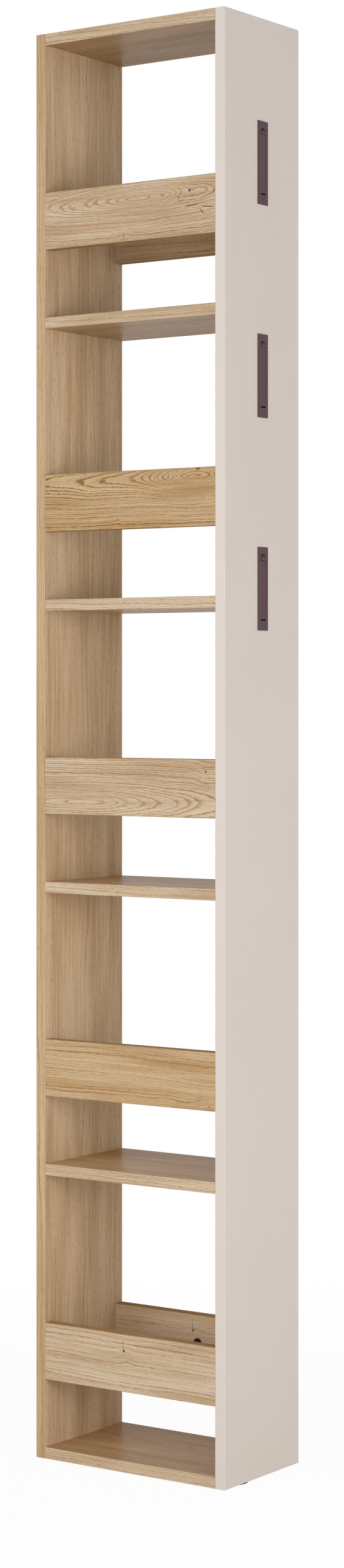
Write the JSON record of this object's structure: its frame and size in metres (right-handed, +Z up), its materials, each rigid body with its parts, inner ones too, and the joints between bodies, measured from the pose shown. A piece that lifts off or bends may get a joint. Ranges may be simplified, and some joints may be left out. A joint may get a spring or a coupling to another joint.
{
  "type": "pantry cabinet",
  "caption": "Tall slim open pantry cabinet with railed compartments, one pale painted side carrying flush fold-out hooks, and oak-look boards on low round feet.",
  "frame": {"origin": "on the floor, under the middle of the cabinet's width and depth", "axes": "+Z up, +X to the painted side with the hooks, +Y to the wall behind, so the railed front faces -Y"},
  "size_m": [0.323, 0.184, 2.005],
  "materials": {
    "oak_laminate": "satin oak-look laminate on chipboard",
    "oak_edging": "satin oak-look edge strip",
    "cream_laminate": "fine-textured warm cream laminate on chipboard",
    "cream_edging": "warm cream edge strip",
    "hook_bronze": "satin dark bronze powder coat",
    "steel": "zinc plated",
    "cam_zinc": "cast zinc",
    "black_plastic": "glossy black",
    "cap_plastic": "oak-coloured",
    "washer_plastic": "natural nylon",
    "beech": "raw beech"
  },
  "bodies": {
    "cabinet": {"left_side_panel": "oak_laminate", "bottom_panel": "oak_laminate", "shelf_1": "oak_laminate", "shelf_2": "oak_laminate", "shelf_3": "oak_laminate", "shelf_4": "oak_laminate", "top_panel": "oak_laminate", "front_rail_1": "oak_laminate", "front_rail_2": "oak_laminate", "front_rail_3": "oak_laminate", "front_rail_4": "oak_laminate", "front_rail_5": "oak_laminate", "back_rail_bottom": "oak_laminate", "back_rail_top": "oak_laminate", "left_side_panel_edging": "oak_edging", "bottom_panel_edging": "oak_edging", "shelf_1_edging": "oak_edging", "shelf_2_edging": "oak_edging", "shelf_3_edging": "oak_edging", "shelf_4_edging": "oak_edging", "top_panel_edging": "oak_edging", "front_rail_1_edging": "oak_edging", "front_rail_2_edging": "oak_edging", "front_rail_3_edging": "oak_edging", "front_rail_4_edging": "oak_edging", "front_rail_5_edging": "oak_edging", "back_rail_bottom_edging": "oak_edging", "back_rail_top_edging": "oak_edging", "right_side_panel": "cream_laminate", "right_side_panel_edging": "cream_edging", "hook_plate_top": "hook_bronze", "hook_plate_middle": "hook_bronze", "hook_plate_bottom": "hook_bronze", "hook_pin_top": "steel", "hook_pin_middle": "steel", "hook_pin_bottom": "steel", "hook_washers": "washer_plastic", "hook_screws": "steel", "connecting_screws": "steel", "screw_caps": "cap_plastic", "cam_locks": "cam_zinc", "cam_bolts": "steel", "dowels": "beech", "front_feet": "black_plastic", "rear_glides": "black_plastic", "foot_screws": "steel", "wall_bush_top": "black_plastic", "wall_bush_bottom": "black_plastic"},
    "hook_arm_top": {"hook_arm_top": "hook_bronze"},
    "hook_arm_middle": {"hook_arm_middle": "hook_bronze"},
    "hook_arm_bottom": {"hook_arm_bottom": "hook_bronze"}
  },
  "joints": [
    {"name": "hook_top_fold", "type": "hinge", "parent": "cabinet", "child": "hook_arm_top", "pos_m": [0.1575, 0, 1.7685], "axis": [0, 1, 0], "range_deg": [0, 50]},
    {"name": "hook_middle_fold", "type": "hinge", "parent": "cabinet", "child": "hook_arm_middle", "pos_m": [0.1575, 0, 1.4765], "axis": [0, 1, 0], "range_deg": [0, 50]},
    {"name": "hook_bottom_fold", "type": "hinge", "parent": "cabinet", "child": "hook_arm_bottom", "pos_m": [0.1575, 0, 1.1845], "axis": [0, 1, 0], "range_deg": [0, 50]}
  ]
}
